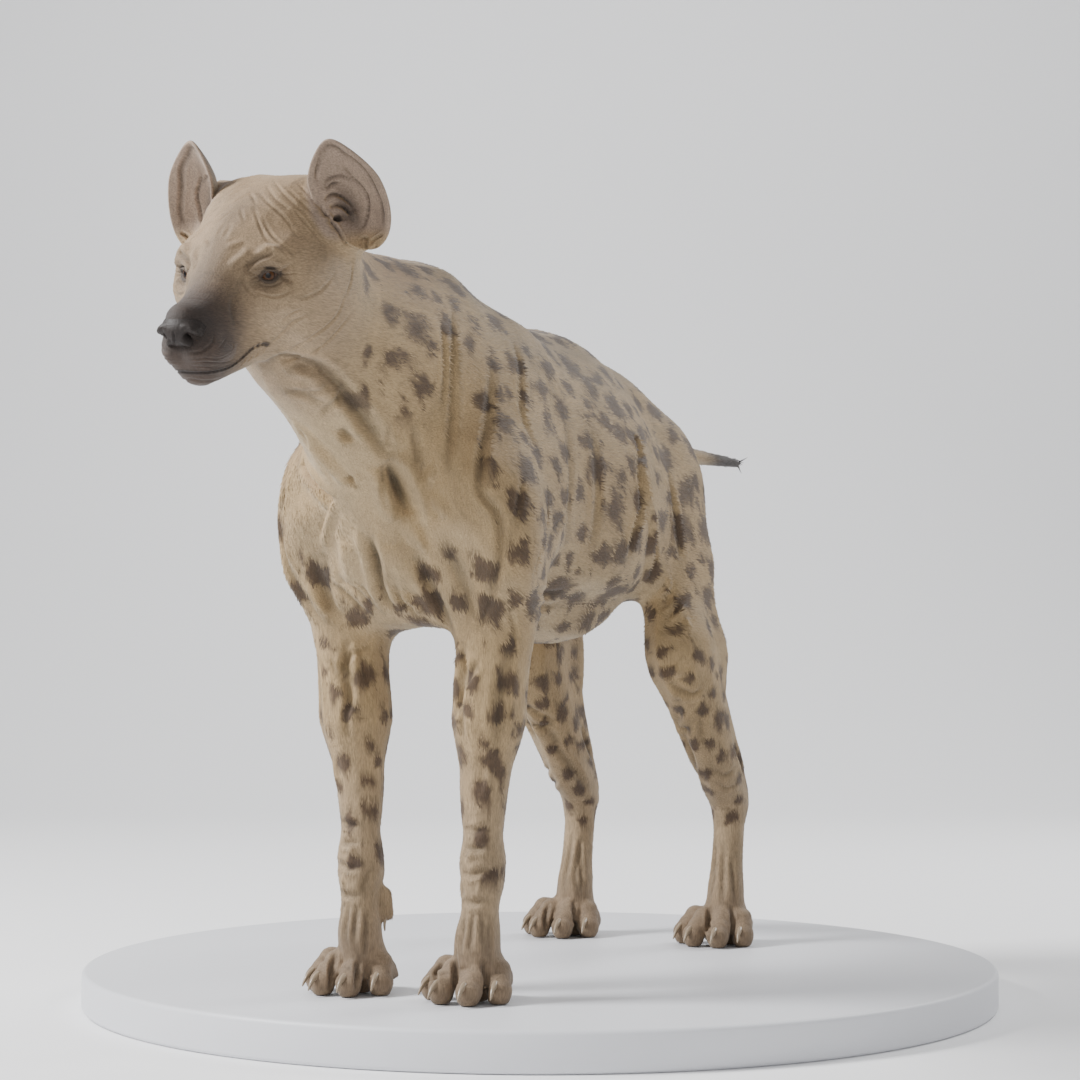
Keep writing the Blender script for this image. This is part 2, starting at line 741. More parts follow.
def press(heights, places, path, width, depth):
    """Add one stroke to the heights of the places near it, in metres."""
    reach = REACH * width / 2
    near = np.all((places > path.min(0) - reach) & (places < path.max(0) + reach), axis=1)
    index = np.nonzero(near)[0]
    if not len(index):
        return
    nearest = np.full(len(index), np.inf)
    along = np.zeros(len(index))
    for i, (start, end) in enumerate(zip(path, path[1:])):
        run = end - start
        t = np.clip((places[index] - start) @ run / max(run @ run, 1e-12), 0, 1)
        gap = ((places[index] - start - t[:, None] * run) ** 2).sum(1)
        closer = gap < nearest
        nearest[closer] = gap[closer]
        along[closer] = i + t[closer]
    d = np.sqrt(nearest) / (width / 2)
    ends = np.sin(math.pi * np.clip(along / (len(path) - 1), 0, 1)) ** 0.7
    groove = np.exp(-d * d) - 0.35 * np.exp(-(((d - 1.7) / 0.8) ** 2))
    heights[index] -= depth * ends * groove


BODY = Matrix.Translation((MIDLINE, 0, 0))
fold_marks = []  # the bottom, width and depth of every groove, for the colours


def press_all(piece, strokes):
    """Press strokes, each (path, width, depth), into a piece."""
    places, outwards = points_of(piece), normals_of(piece)
    heights = np.zeros(len(places))
    for path, width, depth in strokes:
        press(heights, places, path, width, depth)
    set_points(piece, places + heights[:, None] * outwards)
    for path, width, depth in strokes:
        if depth > 0:
            ways = np.array([surface.find_nearest(Vector(row))[1] for row in path])
            fold_marks.append((path - depth * ways, width, depth))


def carve(piece, folds, frame_matrix, sides):
    """Press folds, each (name, width mm, depth mm, pixels), into a piece."""
    strokes = []
    for name, width, depth, pixels in folds:
        path = laid(surface, pixels)
        if len(path) < 2:
            print("fold misses the hide:", name)
            continue
        for side in sides:
            if side < 0:
                path = mirrored(path, frame_matrix)
                path = np.array([surface.find_nearest(Vector(row))[0] for row in path])
            strokes.append((path, width / 1000, depth / 1000))
    press_all(piece, strokes)


# %% Folds of the face
FACE_FOLDS = [
    ("mouth", 2.2, 1.9, [(183, 372), (205, 372.5), (222, 370), (233, 365), (243, 357), (253, 348), (263, 344), (268, 345)]),
    ("under the nostril", 3.2, 1.3, [(214, 333), (213, 342), (207, 348), (200, 352), (188, 353)]),
    ("upper lip, top", 2.2, 0.8, [(232, 351), (225, 355), (217, 359), (205, 358), (190, 360)]),
    ("upper lip, middle", 2.2, 0.8, [(237, 357), (228, 362), (216, 363), (203, 362), (188, 363)]),
    ("upper lip, low", 2.0, 0.7, [(222, 367.5), (207, 367), (190, 366)]),
    ("whisker row", 2.5, 0.8, [(228, 337), (222, 344), (216, 350)]),
    ("whisker row end", 2.5, 0.7, [(226, 342), (233, 345), (230, 350)]),
    ("lower lip 1", 2.2, 1.0, [(240, 366), (244, 362), (246, 357)]),
    ("lower lip 2", 2.2, 1.0, [(247, 362), (251, 358), (252, 353)]),
    ("lower lip 3", 2.2, 1.0, [(254, 358), (258, 354), (258, 349)]),
    ("lower lip 4", 2.0, 0.8, [(261, 355), (264, 351), (263, 347)]),
    ("chin", 3.8, 0.8, [(186, 378), (205, 381), (222, 378), (236, 371)]),
    ("inner brow bulge", 9.0, -2.6, [(230, 268), (237, 261), (244, 256), (250, 249)]),
    ("groove under the brow", 6.2, 2.7, [(250, 275), (247, 266), (257, 259), (267, 255), (274, 251)]),
    ("outer brow bulge", 9.0, -2.4, [(258, 252), (268, 247), (277, 250), (282, 257)]),
    ("frown", 6.2, -1.3, [(226, 247), (235, 244), (243, 243)]),
    ("upper lid crease", 2.5, 1.4, [(250, 272), (255, 269), (264, 267.5), (274, 268), (284, 269), (290, 266)]),
    ("outer corner", 2.0, 1.1, [(278, 274), (287, 274), (297, 273)]),
    ("tear corner", 2.2, 1.3, [(259, 276), (255, 278), (251, 281)]),
    ("lower lid crease", 2.5, 1.3, [(256, 281), (262, 285), (267, 286.5), (274, 285), (281, 282), (285, 277)]),
    ("bag under the eye", 3.0, 1.1, [(254, 291), (265, 295), (274, 297), (284, 295), (292, 288)]),
    ("round the inner corner", 4.2, 1.2, [(249, 266), (243, 278), (248, 290), (257, 296)]),
    ("tear groove", 9.0, 2.1, [(240, 284), (234, 298), (233, 312), (238, 324)]),
    ("whisker pad", 16.0, -2.1, [(214, 346), (224, 352), (236, 350)]),
    ("middle of the forehead", 6.2, 0.8, [(217, 240), (220, 232), (227, 222)]),
    ("forehead a", 3.8, 0.9, [(248, 192), (253, 198), (256, 205)]),
    ("forehead b", 3.8, 0.8, [(240, 208), (242, 215), (244, 222)]),
    ("forehead c", 4.0, 1.0, [(257, 190), (267, 202), (274, 208), (284, 217), (293, 230), (298, 237)]),
    ("forehead d", 4.2, 1.0, [(260, 215), (267, 228), (275, 238), (287, 248), (295, 257)]),
    ("forehead e", 4.0, 0.9, [(253, 205), (258, 220), (265, 237), (273, 245)]),
    ("forehead f", 3.8, 0.9, [(265, 183), (273, 196), (283, 205), (295, 215)]),
    ("forehead g", 3.8, 0.9, [(273, 180), (282, 192), (292, 202), (302, 212)]),
    ("temple a", 3.8, 0.9, [(284, 186), (294, 195), (304, 205), (318, 219)]),
    ("temple b", 3.2, 0.8, [(296, 182), (304, 190), (313, 200), (319, 208)]),
    ("temple c", 3.2, 0.8, [(292, 208), (302, 219), (313, 232), (324, 246)]),
    ("cheek line", 3.8, 1.4, [(335, 275), (320, 291), (301, 299)]),
    ("corner fold a", 4.2, 1.4, [(345, 295), (335, 318), (312, 337), (289, 350), (274, 356)]),
    ("corner fold b", 3.8, 1.4, [(351, 314), (328, 341), (305, 356), (285, 362)]),
    ("corner fold c", 3.8, 1.3, [(308, 314), (293, 322), (282, 333), (271, 343)]),
    ("corner fold d", 3.2, 1.1, [(302, 309), (290, 314), (281, 323)]),
    ("behind the cheek", 4.2, 1.3, [(352, 262), (351, 280), (345, 297)]),
]
BRIDGE_FOLDS = [
    ("bridge 1", 2.4, 0.3, [(188, 274), (200, 272.5), (218, 275)]),
    ("bridge 2", 2.4, 0.3, [(188, 280), (200, 278.5), (218, 281)]),
    ("bridge 3", 2.4, 0.3, [(187, 286), (199, 285), (216, 288)]),
    ("bridge 4", 2.4, 0.3, [(185, 293), (197, 292), (213, 295)]),
    ("bridge 5", 2.4, 0.3, [(183, 299), (196, 299), (211, 302)]),
]

surface = BVHTree.FromObject(hide, bpy.context.evaluated_depsgraph_get())
carve(hide, FACE_FOLDS, HEAD, SIDES)
carve(hide, BRIDGE_FOLDS, HEAD, SIDES[:1])
print("face carved at", round(time.time() - started, 1), "s")

# %% Folds of the ears
EAR_FOLDS = [
    ("upper crescent", 4.2, 2.9, [(325, 189), (330, 186), (334, 183), (341, 183)]),
    ("upper shelf", 4.2, 2.1, [(325, 186), (328, 180), (334, 177), (341, 176), (347, 178), (353, 181)]),
    ("middle crescent", 4.2, 4.2, [(325, 201), (329, 196), (334, 194), (341, 196), (347, 201), (352, 206)]),
    ("lower crescent", 4.8, 5.2, [(330, 208), (335, 205), (342, 206), (348, 211), (351, 217), (351, 222)]),
    ("canal", 15.0, 11.7, [(339, 214), (341, 221)]),
    ("long fold", 4.2, 2.6, [(344, 166), (349, 174), (356, 181), (364, 190), (368, 199), (368, 211), (365, 224), (360, 230)]),
    ("inside the rim", 5.6, 2.3, [(321, 153), (328, 146), (335, 147), (343, 153), (355, 161), (366, 172), (374, 186), (380, 200), (383, 213), (383, 225)]),
    ("front of the rim", 4.2, 1.8, [(317, 181), (317, 171), (321, 156)]),
    ("slit of the pocket", 3.6, 4.4, [(371, 242), (377, 238), (383, 234)]),
    ("curl of the lobe", 3.4, 2.6, [(360, 243), (362, 238), (367, 238), (366, 245), (368, 250), (373, 249), (379, 243)]),
    ("front fold", 4.2, 2.6, [(319, 205), (324, 212), (330, 220), (338, 230), (345, 242), (350, 249)]),
]
carve(hide, EAR_FOLDS, HEAD, SIDES)

# %% Folds of the neck and the chest
NECK_FOLDS = [
    ("jaw and throat", 17.0, 8.5, [(262, 366), (280, 358), (302, 362), (322, 371), (338, 386), (349, 400), (363, 417), (380, 442), (391, 458)]),
    ("throat 1", 10.0, 2.6, [(288, 372), (300, 368), (312, 374)]),
    ("throat 2", 9.0, 2.6, [(304, 388), (316, 392), (328, 384)]),
    ("throat 3", 9.6, 3.3, [(322, 414), (334, 402), (345, 397)]),
    ("throat 4", 11.2, 3.3, [(286, 392), (304, 394), (320, 404)]),
    ("throat pit", 12.0, 7.0, [(341, 428), (346, 436), (352, 442)]),
    ("front of the throat", 11.0, 8.0, [(297, 426), (304, 435), (310, 444)]),
    ("right strap muscle", 14.0, -8.0, [(293, 420), (309, 440), (327, 461), (344, 484)]),
    ("right hollow", 19.0, 19.0, [(303, 458), (317, 482), (332, 503)]),
    ("left hollow", 19.0, 19.0, [(386, 461), (395, 482), (408, 516)]),
    ("edge of the left hollow", 8.0, 5.0, [(383, 470), (383, 492), (389, 512)]),
    ("small pit", 9.0, 6.0, [(348, 476), (352, 484)]),
    ("middle of the breast", 15.0, 12.0, [(367, 532), (369, 545), (373, 560), (377, 583), (385, 600), (394, 609)]),
    ("breast fold 1", 9.0, 3.0, [(333, 583), (347, 594), (361, 608), (374, 617)]),
    ("breast fold 2", 9.0, 3.0, [(341, 577), (355, 588), (369, 602), (381, 611)]),
    ("breast fold 3", 9.0, 2.6, [(352, 578), (366, 592), (378, 604)]),
    ("right breast edge", 14.0, 7.0, [(313, 552), (316, 572), (322, 592), (333, 608), (349, 619)]),
    ("left breast edge", 14.0, 7.5, [(417, 556), (427, 580), (438, 603), (447, 622), (452, 634)]),
    ("left bulge", 9.6, -4.5, [(400, 590), (405, 597), (410, 604)]),
    ("left bulge 2", 8.0, -3.6, [(414, 603), (419, 612)]),
    ("left breast groove", 8.0, 3.9, [(394, 582), (398, 594), (405, 604), (416, 614)]),
    ("neck cord", 12.0, -5.0, [(404, 456), (416, 477), (425, 502), (421, 526)]),
    ("right breast bulge", 26.0, -6.0, [(344, 540), (348, 562), (352, 586)]),
    ("left breast bulge", 24.0, -6.0, [(392, 544), (399, 568), (409, 592)]),
    ("right breast cord", 10.0, -5.0, [(335, 503), (329, 522), (323, 546)]),
    ("left breast cord", 10.0, -5.0, [(410, 516), (418, 534), (425, 553)]),
    ("shoulder point 1", 9.6, -3.9, [(433, 466), (428, 480), (426, 490)]),
    ("shoulder point 2", 11.2, -3.6, [(434, 494), (441, 508), (443, 518)]),
    ("shoulder point 3", 11.2, -3.6, [(404, 520), (412, 536), (420, 548)]),
]
SIDE_FOLDS = [
    ("neck fold 1", 10.0, 3.8, [(452, 306), (453, 356), (452, 411), (449, 444), (447, 466)]),
    ("neck fold 2", 8.0, 2.7, [(441, 322), (445, 369), (442, 403)]),
    ("neck fold 3", 11.4, 3.3, [(413, 428), (417, 447), (419, 462)]),
    ("neck fold 4", 8.0, 2.4, [(389, 425), (388, 445)]),
    ("shoulder fold", 11.0, 4.5, [(491, 360), (488, 411), (481, 456), (480, 489), (497, 511), (501, 539), (498, 564), (488, 603), (477, 628)]),
    ("blade edge", 9.5, 3.0, [(512, 340), (520, 370), (521, 411), (530, 436), (536, 450)]),
    ("behind the blade", 8.0, 2.7, [(523, 478), (519, 500), (516, 522)]),
    ("behind the arm", 8.0, 3.0, [(548, 490), (547, 522), (541, 550), (533, 578)]),
    ("skin crease", 8.0, 2.7, [(570, 505), (560, 522), (549, 534)]),
    ("upper arm", 17.1, 4.2, [(447, 550), (458, 572), (466, 594), (472, 614)]),
    ("armpit fold 1", 11.4, 3.6, [(532, 592), (545, 594), (560, 592)]),
    ("armpit fold 2", 11.4, 3.0, [(531, 604), (543, 607), (556, 605)]),
    ("ribs 1", 16.0, 2.4, [(566, 420), (570, 480), (566, 540)]),
    ("ribs 2", 16.0, 2.4, [(592, 430), (597, 490), (592, 545)]),
    ("flank", 15.0, 7.5, [(638, 452), (640, 485), (641, 508), (634, 532), (629, 556)]),
    ("flank ridge", 14.0, -6.5, [(644, 462), (646, 491), (652, 520), (650, 550), (648, 578)]),
    ("behind the flank ridge", 11.4, 4.5, [(653, 512), (654, 540), (653, 560), (650, 580)]),
    ("hip hollow", 12.0, 6.0, [(634, 434), (638, 446), (641, 460)]),
    ("thigh wrinkle 1", 9.5, -3.9, [(659, 597), (667, 588), (669, 576)]),
    ("thigh wrinkle 2", 9.5, -3.6, [(660, 614), (670, 608), (677, 593)]),
    ("thigh wrinkle 3", 9.5, -3.6, [(672, 622), (680, 612), (684, 604)]),
    ("thigh wrinkle 4", 8.0, -3.0, [(684, 616), (689, 626)]),
    ("thigh line", 12.0, 3.9, [(668, 470), (676, 520), (680, 560)]),
    ("knee fold", 9.5, 4.2, [(669, 682), (679, 690), (694, 695), (701, 688)]),
    ("kneecap", 14.0, -4.5, [(672, 664), (680, 676)]),
    ("below the knee", 11.4, 3.6, [(676, 697), (680, 710), (676, 724), (687, 731), (693, 718)]),
    ("shin groove", 11.4, 3.3, [(700, 712), (701, 730), (703, 742)]),
    ("hock wrinkle 1", 8.0, 2.7, [(712, 769), (726, 776), (737, 767)]),
    ("hock wrinkle 2", 8.0, 2.4, [(716, 784), (728, 789), (738, 784)]),
    ("heel cord", 11.4, 4.5, [(734, 742), (740, 760), (744, 776)]),
]
LEG_FOLDS = [
    ("elbow crease", 8.5, 3.6, [(447, 629), (458, 651), (466, 667), (465, 680)]),
    ("inner forearm", 8.5, 3.1, [(459, 676), (461, 708), (463, 740)]),
    ("outer forearm", 15.3, 3.4, [(512, 645), (502, 681), (499, 717), (497, 750)]),
    ("elbow fold", 7.0, 2.3, [(508, 604), (514, 629), (515, 650)]),
    ("forearm cord", 8.5, -2.6, [(490, 760), (488, 783), (483, 798)]),
    ("above the wrist", 8.5, 2.6, [(460, 827), (474, 830), (488, 826)]),
    ("wrist top", 8.5, 3.1, [(456, 843), (470, 848), (486, 848)]),
    ("wrist bulge", 13.0, -3.4, [(467, 855), (473, 858)]),
    ("wrist fold", 8.5, 3.4, [(455, 864), (470, 874), (482, 870), (495, 872)]),
    ("lower wrist bulge", 15.3, -2.9, [(476, 887), (482, 888)]),
    ("below the wrist", 8.5, 2.9, [(459, 899), (472, 902), (488, 900)]),
    ("tendon 1", 7.0, 2.9, [(465, 912), (463, 932), (460, 952)]),
    ("tendon 2", 7.0, 2.9, [(473, 912), (471, 932), (469, 952)]),
    ("tendon 3", 7.0, 2.9, [(482, 912), (483, 932), (484, 956)]),
    ("tendon 4", 7.0, 2.6, [(489, 918), (489, 940), (489, 960)]),
    ("hind tendon 1", 7.0, 2.6, [(715, 843), (714, 877), (708, 903)]),
    ("hind tendon 2", 7.0, 2.6, [(723, 843), (723, 875), (722, 903)]),
    ("hind tendon 3", 7.0, 2.6, [(731, 858), (733, 876), (735, 903)]),
]
INNER_FOLDS = [
    ("inner arm", 10.2, 4.5, [(347, 640), (346, 660), (347, 681), (350, 699), (356, 716)]),
    ("inner arm ridge", 10.2, -3.6, [(355, 642), (356, 665), (361, 685), (359, 708)]),
    ("inner arm 2", 8.5, 2.8, [(329, 660), (338, 676), (343, 684)]),
    ("inner wrist", 10.2, 3.4, [(372, 868), (366, 880), (362, 892)]),
    ("inner tendon", 7.0, 3.1, [(367, 912), (366, 932), (365, 955)]),
    ("inner shank", 11.9, 4.8, [(537, 722), (552, 735), (560, 753), (576, 772), (587, 787)]),
    ("inner shank 2", 10.2, 3.6, [(581, 727), (587, 745), (594, 761)]),
    ("inner hind tendon", 7.0, 3.1, [(580, 840), (581, 865), (582, 892)]),
]
carve(hide, NECK_FOLDS, BODY, SIDES[:1])
carve(hide, SIDE_FOLDS + LEG_FOLDS + INNER_FOLDS, BODY, SIDES)
print("body carved at", round(time.time() - started, 1), "s")

# %% [markdown]
# The toes' clefts and creases differ from paw to paw, so they aren't mirrored.
# %% Folds of the toes
TOE_FOLDS = [
    ("left fore cleft 1", 7.5, 4.5, [(443, 964), (437, 973), (432, 986)]),
    ("left fore cleft 2", 7.5, 5.0, [(455, 958), (456, 976), (454, 1001)]),
    ("left fore cleft 3", 8.0, 5.0, [(483, 957), (485, 973), (487, 1003)]),
    ("left fore knuckle 1", 5.0, 1.0, [(457, 971), (466, 969), (476, 972)]),
    ("left fore knuckle 2", 5.0, 1.0, [(459, 986), (466, 984), (473, 986)]),
    ("left fore knuckle 3", 5.0, 1.0, [(488, 976), (496, 973), (504, 974)]),
    ("left fore knuckle 4", 5.0, 1.0, [(490, 990), (497, 988), (504, 990)]),
    ("left fore knuckle 5", 5.0, 1.0, [(438, 978), (445, 974), (453, 976)]),
    ("right fore cleft 1", 7.5, 5.0, [(335, 952), (332, 973), (330, 995)]),
    ("right fore cleft 2", 7.5, 5.0, [(359, 960), (357, 979), (356, 997)]),
    ("right fore knuckle 1", 5.0, 1.0, [(313, 961), (322, 960), (332, 964)]),
    ("right fore knuckle 2", 5.0, 1.0, [(307, 971), (316, 970), (326, 973)]),
    ("right fore knuckle 3", 5.0, 1.0, [(336, 969), (344, 967), (353, 970)]),
    ("right fore knuckle 4", 5.0, 1.0, [(336, 980), (343, 978), (351, 980)]),
    ("right fore knuckle 5", 5.0, 1.0, [(366, 966), (374, 962), (383, 965)]),
    ("right fore knuckle 6", 5.0, 1.0, [(364, 976), (372, 973), (380, 976)]),
    ("right hind cleft 1", 7.0, 4.5, [(574, 900), (574, 916), (574, 933)]),
    ("right hind cleft 2", 7.0, 4.0, [(549, 902), (546, 916), (545, 930)]),
    ("left hind cleft 1", 7.0, 4.5, [(710, 906), (709, 922), (709, 943)]),
    ("left hind cleft 2", 7.0, 4.5, [(732, 906), (732, 922), (732, 943)]),
]
carve(hide, TOE_FOLDS, BODY, SIDES[:1])

# %% [markdown]
# The folds keep their shape with far fewer triangles, because Decimate takes flat
# places first.
# %% Hide: fewer triangles
MOST = 196000
hide.data.calc_loop_triangles()
modify(hide, "DECIMATE", ratio=MOST / len(hide.data.loop_triangles))
hide.data.calc_loop_triangles()
print("hide", len(hide.data.loop_triangles), "triangles at", round(time.time() - started, 1), "s")
only(hide)
bpy.ops.object.shade_smooth()

# %% [markdown]
# A few sine waves in random directions add up to a soft random field. It warps the
# edges of the spots and mottles the coat. The same places always give the same value.
# %% Tools for the markings
rng = np.random.default_rng(7)


def waves(places, length, seed):
    """A smooth random value between about -1 and 1, with bumps of this length."""
    own_rng = np.random.default_rng(seed)
    ways = own_rng.normal(size=(9, 3))
    ways /= np.linalg.norm(ways, axis=1, keepdims=True)
    ways *= own_rng.uniform(0.6, 1.5, (9, 1)) * 2 * math.pi / length
    phases = own_rng.uniform(0, 2 * math.pi, 9)
    return np.sin(places @ ways.T + phases).sum(1) / 3


def mix(first, second, share):
    """Rows blended by each row's share."""
    return first + (np.asarray(second)[..., :3] - first) * np.asarray(share)[:, None]


fold_tree = KDTree(sum(len(path) for path, _, _ in fold_marks))
fold_widths = []
fold_depths = []
for path, width, depth in fold_marks:
    for point in path:
        fold_tree.insert(point, len(fold_widths))
        fold_widths.append(width)
        fold_depths.append(depth)
fold_tree.balance()
fold_widths = np.array(fold_widths)
fold_depths = np.array(fold_depths)


def in_folds(places):
    """1 at the bottom of a deep fold, 0 away from folds."""
    found = [fold_tree.find(place)[1:] for place in places]
    index = np.array([f[0] for f in found])
    gaps = np.array([f[1] for f in found])
    deep = fold_depths[index]
    dark = np.clip(deep / 0.003, 0, 1) + 0.9 * np.clip((deep - 0.006) / 0.008, 0, 1)
    return np.exp(-((gaps / (0.55 * fold_widths[index])) ** 2)) * dark


corners = points_of(hide)
hide_normals = normals_of(hide)
hide_folds = in_folds(corners)
triangles = np.empty(len(hide.data.loop_triangles) * 3, np.int32)
hide.data.loop_triangles.foreach_get("vertices", triangles)
triangles = triangles.reshape(-1, 3)


def spread_bits(values):
    """A number's bits with two zeros between each, to order places along a path."""
    out = np.zeros_like(values)
    for bit in range(10):
        out |= (values >> bit & 1) << 3 * bit
    return out


def scatter(count, density):
    """Places on the hide, their outward directions and their share in the folds."""
    a, b, c = (corners[triangles[:, i]] for i in range(3))
    middles = (a + b + c) / 3
    cells = ((middles - corners.min(0)) / 0.004).astype(np.int64)
    order = np.argsort(spread_bits(cells[:, 0]) | spread_bits(cells[:, 1]) << 1 | spread_bits(cells[:, 2]) << 2)
    ways = np.cross(b - a, c - a)
    double = np.linalg.norm(ways, axis=1, keepdims=True)
    area = double[:, 0] / 2 * density(middles, ways / np.maximum(double, 1e-12))
    total = np.cumsum(area[order])
    marks = (np.arange(count) + rng.random(count)) / count * total[-1]
    chosen = order[np.searchsorted(total, marks)]
    u, w = rng.random((2, count, 1))
    fold = u + w > 1
    u, w = np.where(fold, 1 - u, u), np.where(fold, 1 - w, w)
    shares = ((1 - u - w), u, w)
    where = sum(share * corners[triangles[chosen, i]] for i, share in enumerate(shares))
    outwards = sum(share * hide_normals[triangles[chosen, i]] for i, share in enumerate(shares))
    folded = sum(share[:, 0] * hide_folds[triangles[chosen, i]] for i, share in enumerate(shares))
    return where, outwards / np.linalg.norm(outwards, axis=1, keepdims=True), folded


# %% [markdown]
# A spotted hyena's spots are dark brown and ragged. They lie on the back, the flanks,
# the rump and the upper legs, thin out on the neck, and are missing on the face, the
# throat and the feet. Random places on the hide are taken one by one, and kept only
# where no earlier spot is near.
# %% Places of the spots
SPOT_GAP = 0.045  # between the middles of two spots


def spotted(places):
    """How freely spots grow at each place."""
    own = places - (MIDLINE, 0, GROUND)
    head, leg, foot, tail = parts_of(places)
    neck = ramp(-own[:, 1], 0.40, 0.60)
    throat = ramp(-own[:, 1], 0.38, 0.46) * ramp(-own[:, 2], -0.72, -0.62)
    low = ramp(own[:, 2], 0.10, 0.24)
    under = ramp(own[:, 2], 0.40, 0.47) + ramp(leg, 0.2, 0.8)
    return (1 - head) * (1 - 0.5 * neck) * (1 - throat) * low * (1 - tail) * np.clip(under, 0, 1)


tries, _, _ = scatter(5200, lambda places, ways: spotted(places))
tries = tries[rng.permutation(len(tries))]
_, try_leg, _, _ = parts_of(tries)
gaps = SPOT_GAP * (1 - 0.3 * try_leg) * rng.uniform(0.65, 1.3, len(tries))
spots = np.empty((0, 3))
radii = np.empty(0)
for place, gap in zip(tries, gaps):
    if not len(spots) or ((spots - place) ** 2).sum(1).min() > gap * gap:
        spots = np.vstack([spots, place])
        radii = np.append(radii, gap * rng.uniform(0.26, 0.42))
print(len(spots), "spots")


def spot_share(places):
    """1 inside a spot, 0 outside, with a ragged soft edge."""
    share = np.zeros(len(places))
    ragged = 1 + 0.30 * waves(places, 0.022, 1) + 0.16 * waves(places, 0.008, 2)
    for start in range(0, len(places), 8000):
        block = slice(start, start + 8000)
        offsets = (places[block, None] - spots[None]) * (1, 0.8, 1)
        out = np.linalg.norm(offsets, axis=2) / radii
        share[block] = 1 - ramp(out.min(1) * ragged[block], 0.72, 1.2)
    return share * ramp(spotted(places), 0.02, 0.25)


# %% [markdown]
# One function gives the coat's colour at any place, and both the hide and the tufts ask
# it, so that they carry the same markings. Buff is the ground colour. The spine and the
# nape are greyer, the belly is paler, the lower legs and the feet are brown, and the
# muzzle is almost black, as are the rims of the eyes and the lips.
# %% The coat's colour
BUFF = colour(0x97805d)
SADDLE = colour(0x827056)
PALE = colour(0xa28f70)
MANE = colour(0x94754f)
SHIN = colour(0x8d795e)
FOOT = colour(0x75634f)
SPOT = colour(0x3b2a1f)
FACE = colour(0x836f58)
MUZZLE = colour(0x40342c)
LIP = colour(0x241d1a)
CUP = colour(0x8c7a6c)
EAR_BACK = colour(0x4a3c31)
TAIL_END = colour(0x2a211b)
FOLD_DARK = 0.4  # thin hair shows the darker skin at the bottom of a fold
lip_line = laid(surface, FACE_FOLDS[0][3])
lip_line = np.vstack([lip_line, mirrored(lip_line, HEAD)])


def coat_colour(places, outwards, folded):
    """The linear colour of the coat at these places, as rows."""
    own = places - (MIDLINE, 0, GROUND)
    face = mapped(HEAD.inverted(), places)
    head, leg, foot, tail = parts_of(places)
    tone = np.tile(BUFF[:3], (len(places), 1))
    tone = mix(tone, SADDLE, 0.75 * ramp(outwards[:, 2], 0.3, 0.95) * (1 - head))
    under = ramp(-outwards[:, 2], 0.1, 0.8) * (1 - leg)
    tone = mix(tone, PALE, 0.7 * under)
    nape = ramp(-own[:, 1], 0.34, 0.52) * ramp(outwards[:, 2], 0.0, 0.7)
    tone = mix(tone, MANE, 0.6 * nape)
    tone = mix(tone, SHIN, ramp(-own[:, 2], -0.36, -0.16))
    tone = mix(tone, FOOT, ramp(-own[:, 2], -0.13, -0.03))
    tone = mix(tone, SPOT, 0.86 * spot_share(places))
    ahead, across, up = -face[:, 1], np.abs(face[:, 0]), face[:, 2]
    tone = mix(tone, FACE, 0.7 * head * ramp(ahead, -0.05, 0.06))
    tone = mix(tone, MUZZLE, head * ramp(ahead + 0.15 * (across - 0.03), 0.105, 0.180))
    tone = mix(tone, MUZZLE, 0.55 * head * ramp(ahead, 0.03, 0.09) * (1 - ramp(across, 0.004, 0.026)) * 0.6)
    nose_gap = np.linalg.norm((face - np.array(NOSE_AT)) / NOSE_SIZE, axis=1)
    tone = mix(tone, LIP, 0.75 * (1 - ramp(nose_gap, 1.0, 1.7)))
    tone = mix(tone, MUZZLE, 0.55 * near_eyes(places, 0.015, 0.032))
    tone = mix(tone, LIP, 0.8 * near_eyes(places, 0.0160, 0.0185))
    gaps = np.full(len(places), 1.0)
    for point in lip_line:
        gaps = np.minimum(gaps, ((places - point) ** 2).sum(1))
    tone = mix(tone, LIP, 0.9 * (1 - ramp(np.sqrt(gaps), 0.0012, 0.0045)))
    ears_here = in_ears(places)
    turned = outwards @ np.array(HEAD.to_3x3())
    inside = ramp(-turned[:, 1], -0.15, 0.35)
    tone = mix(tone, EAR_BACK, 0.8 * ears_here * (1 - inside) * ramp(up, 0.07, 0.13))
    tone = mix(tone, CUP, 0.85 * ears_here * inside)
    across, _, high = ear_leaf(places)
    canal = np.hypot(across + 0.25, 0.8 * (high + 0.35)) / 0.45
    tone = mix(tone, LIP, 0.75 * round_ears(places) * inside * (1 - ramp(canal, 0.1, 1)))
    tone = mix(tone, TAIL_END, tail * ramp(own[:, 1], 0.40, 0.50))
    mottle = 1 + 0.07 * waves(places, 0.05, 3) + 0.06 * waves(places, 0.011, 4)
    return tone * (mottle * (1 - np.clip(FOLD_DARK * folded * (1 + ears_here), 0, 0.8)))[:, None]


def paint(piece, tones):
    """Store a colour for every corner of a piece."""
    layer = piece.data.color_attributes.new("coat", "FLOAT_COLOR", "POINT")
    layer.data.foreach_set("color", np.hstack([tones, np.ones((len(tones), 1))]).astype(np.float32).ravel())


paint(hide, coat_colour(corners, hide_normals, hide_folds))
print("painted at", round(time.time() - started, 1), "s")

# %% [markdown]
# The hide's material is short hair seen from a little way off: dull, with a faint sheen
# along the edges of the form. Fine long noise gives the strands. On the trunk they run
# from head to tail and on the legs from top to bottom, and an attribute of the hide
# tells which.
# %% Hide: material
STRANDS = 700.0  # across one metre
ALONG = 0.12  # a strand is this much finer lengthwise

short_hair, tree, shader = new_material("short coarse hair")
shader.inputs["Roughness"].default_value = 0.72
shader.inputs["Specular IOR Level"].default_value = 0.3
shader.inputs["Sheen Weight"].default_value = 0.12
shader.inputs["Sheen Roughness"].default_value = 0.5
place = add_node(tree, "TexCoord").outputs["Object"]


